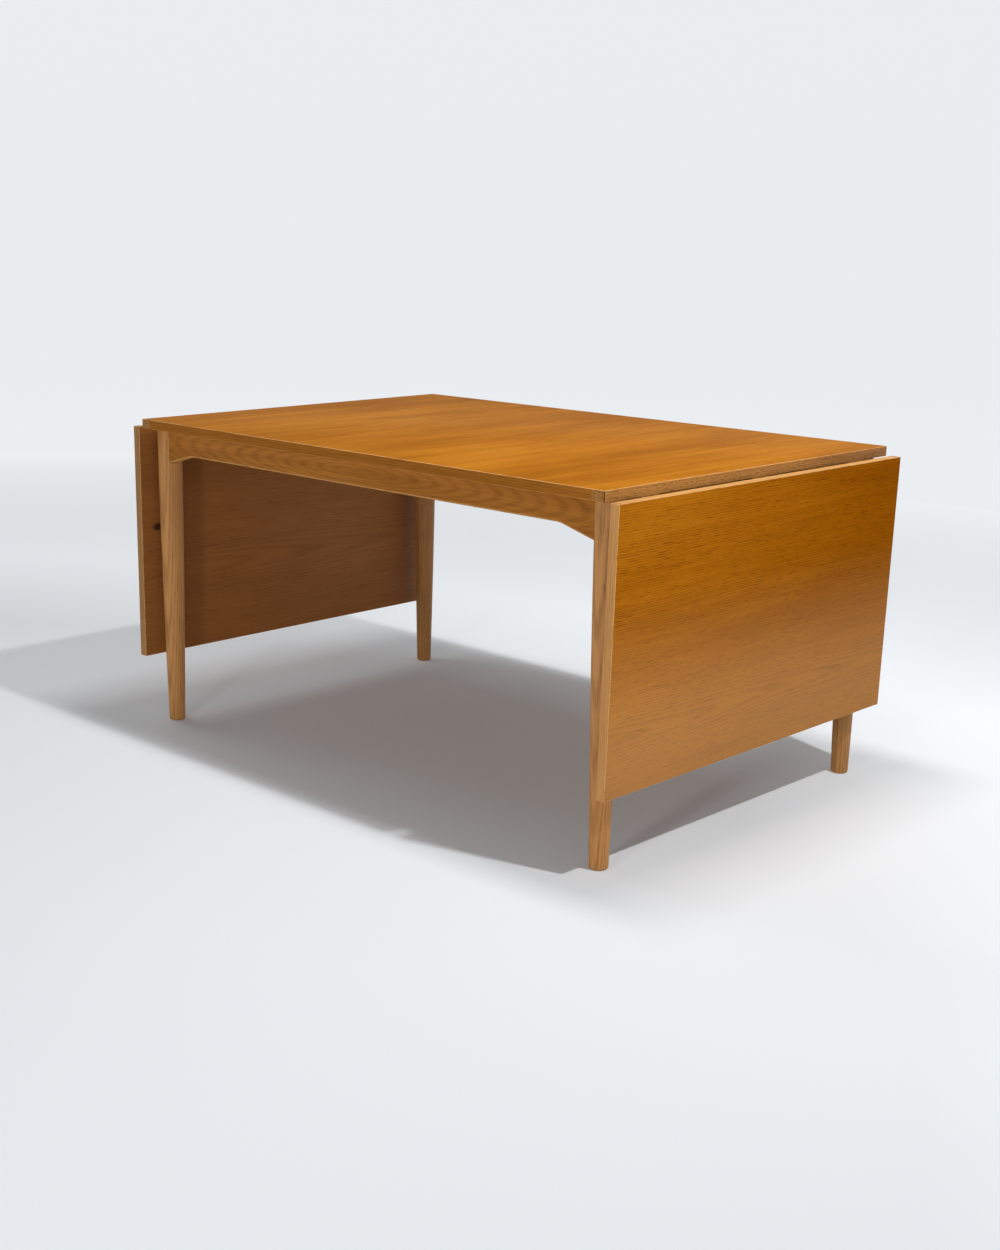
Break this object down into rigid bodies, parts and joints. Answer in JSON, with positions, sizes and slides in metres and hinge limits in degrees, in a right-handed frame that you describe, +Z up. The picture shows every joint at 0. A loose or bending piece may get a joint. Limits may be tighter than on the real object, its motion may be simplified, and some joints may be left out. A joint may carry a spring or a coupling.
{
  "type": "drop leaf table",
  "caption": "Oak dining table with round tapered legs, arched aprons, a hinged drop leaf at each end and pull-out lopers that hold the raised leaves.",
  "frame": {"origin": "on the floor, under the middle of the top, at the bottom centre of the object's box with both leaves hanging", "axes": "+X along the table's length towards the right leaf, +Y from front to back, +Z up"},
  "size_m": [1.4492, 0.93, 0.72],
  "materials": {
    "top_oak": "oiled oak veneer, satin, golden orange brown, grain across the table",
    "leaf_oak": "oiled oak veneer, satin, grain along the hinge line",
    "edge_oak": "solid oak lipping, oiled, with worn pale arrises",
    "frame_oak": "solid oak, oiled, satin",
    "leg_oak": "solid turned oak, oiled, satin",
    "core_wood": "softwood blockboard with a balancing veneer, unfinished",
    "loper_beech": "waxed beech",
    "hinge_brass": "aged brass",
    "hinge_pin_steel": "plain steel pin"
  },
  "bodies": {
    "table_frame": {"top_core": "core_wood", "top_veneer": "top_oak", "top_lipping_front": "edge_oak", "top_lipping_back": "edge_oak", "top_lipping_left": "edge_oak", "top_lipping_right": "edge_oak", "leg_front_right": "leg_oak", "leg_front_left": "leg_oak", "leg_back_right": "leg_oak", "leg_back_left": "leg_oak", "apron_front": "frame_oak", "apron_back": "frame_oak", "end_rail_left": "frame_oak", "end_rail_right": "frame_oak", "cross_bearer_left": "frame_oak", "cross_bearer_right": "frame_oak", "corner_block_front_right": "frame_oak", "corner_block_front_left": "frame_oak", "corner_block_back_right": "frame_oak", "corner_block_back_left": "frame_oak", "hinge_right_front_top_flap": "hinge_brass", "hinge_right_front_pin": "hinge_pin_steel", "hinge_right_middle_top_flap": "hinge_brass", "hinge_right_middle_pin": "hinge_pin_steel", "hinge_right_back_top_flap": "hinge_brass", "hinge_right_back_pin": "hinge_pin_steel", "hinge_left_front_top_flap": "hinge_brass", "hinge_left_front_pin": "hinge_pin_steel", "hinge_left_middle_top_flap": "hinge_brass", "hinge_left_middle_pin": "hinge_pin_steel", "hinge_left_back_top_flap": "hinge_brass", "hinge_left_back_pin": "hinge_pin_steel"},
    "leaf_right": {"leaf_right_core": "core_wood", "leaf_right_outer_veneer": "leaf_oak", "leaf_right_inner_veneer": "leaf_oak", "leaf_right_hinge_lipping": "edge_oak", "leaf_right_end_lipping": "edge_oak", "leaf_right_front_lipping": "edge_oak", "leaf_right_back_lipping": "edge_oak", "hinge_right_front_leaf_flap": "hinge_brass", "hinge_right_middle_leaf_flap": "hinge_brass", "hinge_right_back_leaf_flap": "hinge_brass"},
    "leaf_left": {"leaf_left_core": "core_wood", "leaf_left_outer_veneer": "leaf_oak", "leaf_left_inner_veneer": "leaf_oak", "leaf_left_hinge_lipping": "edge_oak", "leaf_left_end_lipping": "edge_oak", "leaf_left_front_lipping": "edge_oak", "leaf_left_back_lipping": "edge_oak", "hinge_left_front_leaf_flap": "hinge_brass", "hinge_left_middle_leaf_flap": "hinge_brass", "hinge_left_back_leaf_flap": "hinge_brass"},
    "loper_front_right": {"loper_front_right": "loper_beech", "loper_stop_front_right": "loper_beech"},
    "loper_front_left": {"loper_front_left": "loper_beech", "loper_stop_front_left": "loper_beech"},
    "loper_back_right": {"loper_back_right": "loper_beech", "loper_stop_back_right": "loper_beech"},
    "loper_back_left": {"loper_back_left": "loper_beech", "loper_stop_back_left": "loper_beech"}
  },
  "joints": [
    {"name": "leaf_left_hinge", "type": "hinge", "parent": "table_frame", "child": "leaf_left", "pos_m": [-0.69795, 0, 0.69345], "axis": [0, 1, 0], "range_deg": [0, 90]},
    {"name": "leaf_right_hinge", "type": "hinge", "parent": "table_frame", "child": "leaf_right", "pos_m": [0.69795, 0, 0.69345], "axis": [0, -1, 0], "range_deg": [0, 91.3]},
    {"name": "loper_front_right_slide", "type": "slide", "parent": "table_frame", "child": "loper_front_right", "axis": [1, 0, 0], "range_m": [0, 0.018]},
    {"name": "loper_front_left_slide", "type": "slide", "parent": "table_frame", "child": "loper_front_left", "axis": [-1, 0, 0], "range_m": [0, 0.018]},
    {"name": "loper_back_right_slide", "type": "slide", "parent": "table_frame", "child": "loper_back_right", "axis": [1, 0, 0], "range_m": [0, 0.018]},
    {"name": "loper_back_left_slide", "type": "slide", "parent": "table_frame", "child": "loper_back_left", "axis": [-1, 0, 0], "range_m": [0, 0.018]}
  ]
}
